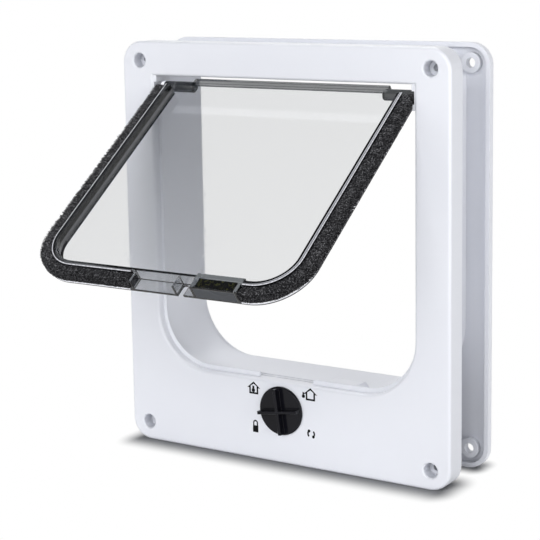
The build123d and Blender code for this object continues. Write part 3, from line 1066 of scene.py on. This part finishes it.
pile_finish = make_pile_finish()
for name, side, end, node, seed in (
    ("left_pile", -1, left_end, "left_brush", 11),
    ("right_pile", 1, right_end, "right_brush", 12),
):
    pile = make_pile(name, side, end, seed)
    wear(pile, pile_finish)
    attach(pile, "flap")
    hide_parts(node)
    triangles = sum(len(face.vertices) - 2 for face in pile.data.polygons)
    print(name, "has", triangles, "triangles")

# %% [markdown]
# Four signs are printed round the knob, one for each position of the lock: inward only, outward only,
# locked, and both ways. A print could be an image, but small flat shapes stay sharp at any size. Each
# sign is drawn in millimetres from its own middle, as filled outlines a hair above the face.

# %% Lines for the signs
sharpest_corner = 0.35


def arc(middle, radius, start, end, steps=10):
    angles = [math.radians(start + (end - start) * i / steps) for i in range(steps + 1)]
    return [(middle[0] + radius * math.cos(a), middle[1] + radius * math.sin(a)) for a in angles]


def disc(middle, radius, corners):
    return arc(middle, radius, 0, 360 - 360 / corners, corners - 1)


def stroke(points, width, closed=False):
    """Outline of a line of even width through the points, as a list of four-cornered pieces."""
    count = len(points)
    sides = []
    for i in range(count):
        before = points[i - 1] if closed or i else points[i]
        after = points[(i + 1) % count] if closed or i < count - 1 else points[i]
        into = Vector(points[i]) - Vector(before)
        away = Vector(after) - Vector(points[i])
        into = into.normalized() if into.length else away.normalized()
        away = away.normalized() if away.length else into
        middle = (into + away).normalized()
        normal = Vector((-middle.y, middle.x))
        wide = width / 2 / max(sharpest_corner, middle.dot(into))
        here = Vector(points[i])
        sides.append((here + normal * wide, here - normal * wide))
    last = count if closed else count - 1
    pieces = []
    for i in range(last):
        n = (i + 1) % count
        pieces.append([sides[i][0], sides[n][0], sides[n][1], sides[i][1]])
    return pieces


print("an arc has", len(arc((0, 0), 1, 0, 90)), "points")

# %% House and figure
house_width = 7.4
house_height = 7.2
line_width = 1.22
wall_share = 0.8
eaves_share = 0.62
eaves_drop = 0.2
round_corners = 16
body_share = 0.33
body_wide = 0.27
body_taper = 0.08
head_up = 0.72
head_share = 0.17
ear_low = 0.82
ear_apart = 0.08
ear_half = 0.07
ear_lean = 0.04


def house():
    half = house_width / 2
    wall = half * wall_share
    low = -house_height / 2
    eaves = low + eaves_share * house_height
    walls = [(-wall, eaves), (-wall, low), (wall, low), (wall, eaves)]
    roof = [(half, eaves - eaves_drop), (0, house_height / 2), (-half, eaves - eaves_drop)]
    return stroke(walls + roof, line_width, True)


def seated_figure(across, low, tall):
    """A small seated shape: a pear-shaped body, a round head and two pointed ears."""
    body = []
    for i in range(round_corners):
        angle = math.radians(i * 360 / round_corners)
        wide = tall * (body_wide - body_taper * math.sin(angle))
        up = tall * (body_share + body_share * math.sin(angle))
        body.append((across + wide * math.cos(angle), low + up))
    head = disc((across, low + tall * head_up), tall * head_share, round_corners)
    ears = []
    for side in (-1, 1):
        root = across + side * tall * ear_apart
        left, right = root - tall * ear_half, root + tall * ear_half
        tip = (root + side * tall * ear_lean, low + tall)
        ears.append([(left, low + tall * ear_low), (right, low + tall * ear_low), tip])
    return [body, head] + ears


print("houses are", house_width, "by", house_height, "mm")

# %% Padlock and arrows
lock_top = 0.06
ring_up = 0.22
ring_inset = 0.55
ring_width = 0.8
bow_shift = 0.25
bow_share = 0.95
bow_angle = 48
arrow_r = 1.05
arrow_corners = 12


def padlock(width, tall):
    body_top = tall * lock_top
    low = -tall / 2
    half = width / 2
    body = [(-half, low), (half, low), (half, body_top), (-half, body_top)]
    ring = half - line_width * ring_inset
    shackle = [(-ring, body_top)] + arc((0, body_top + tall * ring_up), ring, 180, 0) + [(ring, body_top)]
    return [body] + stroke(shackle, line_width * ring_width)


def two_way_arrows(reach):
    """Two bows that turn about one middle, each with a round head."""
    shapes = []
    for side in (-1, 1):
        bow = arc((-side * reach * bow_shift, 0), reach * bow_share, -bow_angle, bow_angle)
        bow = [(side * p[0], side * p[1]) for p in bow]
        shapes += stroke(bow, line_width)
        shapes.append(disc(bow[0], arrow_r, arrow_corners))
    return shapes


print("lines of the signs are", line_width, "mm wide")

# %% Places of the signs
ink_lift = 0.04 * MM
face_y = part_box("front_frame")[0].y
knob_middle = Vector(joints["lock_turn"]["pos_m"])


def make_sign(name, across, up, shapes):
    mesh = bpy.data.meshes.new(name)
    made = bmesh.new()
    for shape in shapes:
        made.faces.new([made.verts.new((p[0] * MM, 0, p[1] * MM)) for p in shape])
    bmesh.ops.recalc_face_normals(made, faces=made.faces)
    for face in made.faces:
        if face.normal.y > 0:
            face.normal_flip()
    made.to_mesh(mesh)
    made.free()
    sign = bpy.data.objects.new(name, mesh)
    sign.location = (knob_middle.x + across * MM, face_y - ink_lift, knob_middle.z + up * MM)
    bpy.context.collection.objects.link(sign)
    return sign


print("signs on the face at y", round(face_y, 4))

# %% Printed signs
ink, ink_tree, ink_shader = new_finish("sign_ink")
ink_skin = place_group(
    ink_tree,
    moulded_skin,
    tone=(0.003, 0.003, 0.0035, 1.0),
    drifted_tone=(0.006, 0.006, 0.007, 1.0),
    grain_scale=4000.0,
    glossy=0.4,
    dull=0.55,
)
ink_look = {"Base Color": ink_skin["Colour"], "Roughness": ink_skin["Roughness"]}
feed_named(ink_tree, ink_shader, {**ink_look, "Specular IOR Level": 0.08})
for name, across, up, shapes in (
    ("sign_in_only", -22.0, 12.7, house() + seated_figure(across=-0.3, low=-3.0, tall=4.9)),
    ("sign_out_only", 22.7, 14.1, house() + seated_figure(across=-5.4, low=-3.0, tall=4.4)),
    ("sign_locked", -21.0, -13.8, padlock(width=4.3, tall=8.4)),
    ("sign_both_ways", 23.6, -12.7, two_way_arrows(reach=2.6)),
):
    sign = make_sign(name, across, up, shapes)
    wear(sign, ink)
    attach(sign, "frame")
    print(name, "has", len(sign.data.polygons), "faces")
